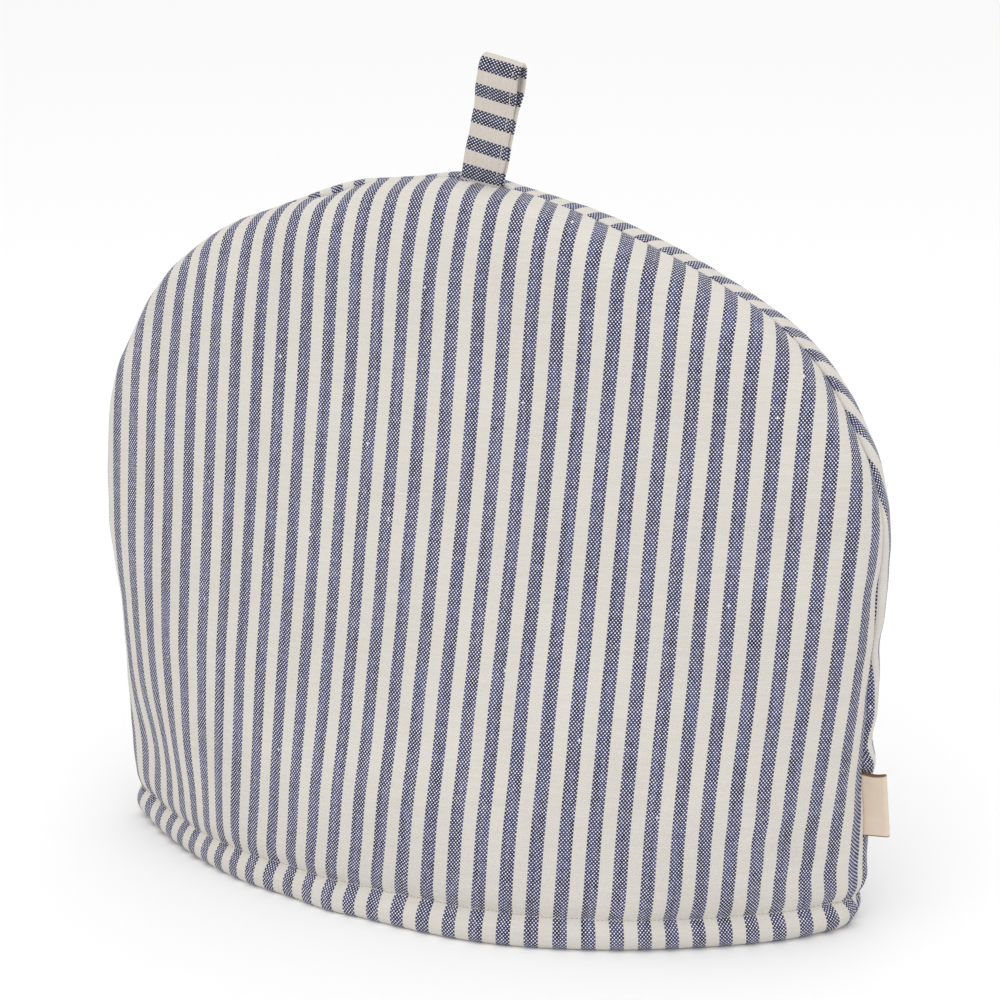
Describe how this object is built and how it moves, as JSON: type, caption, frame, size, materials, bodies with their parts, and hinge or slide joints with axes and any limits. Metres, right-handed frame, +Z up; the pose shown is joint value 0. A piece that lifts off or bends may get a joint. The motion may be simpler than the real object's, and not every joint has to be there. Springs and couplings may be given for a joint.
{
  "type": "tea cosy",
  "caption": "Padded dome-shaped tea cosy of striped cotton, open at the hem, with a hanging loop on top and a short folded tape in the side seam.",
  "frame": {"origin": "On the table, under the middle of the cosy's bounding box.", "axes": "+Z up, the front panel faces -Y, and the seam between the two panels lies in the plane y = 0."},
  "size_m": [0.3242, 0.1404, 0.3247],
  "materials": {
    "front_cotton": "matt plain-woven cotton, cream with dark blue stripes",
    "back_cotton": "matt plain-woven cotton, cream with dark blue stripes",
    "loop_cotton": "matt plain-woven cotton, striped across",
    "tape_satin": "smooth satin tape"
  },
  "bodies": {
    "root": {"front_panel": "front_cotton", "back_panel": "back_cotton", "hanging_loop": "loop_cotton", "side_tape": "tape_satin"}
  },
  "joints": []
}
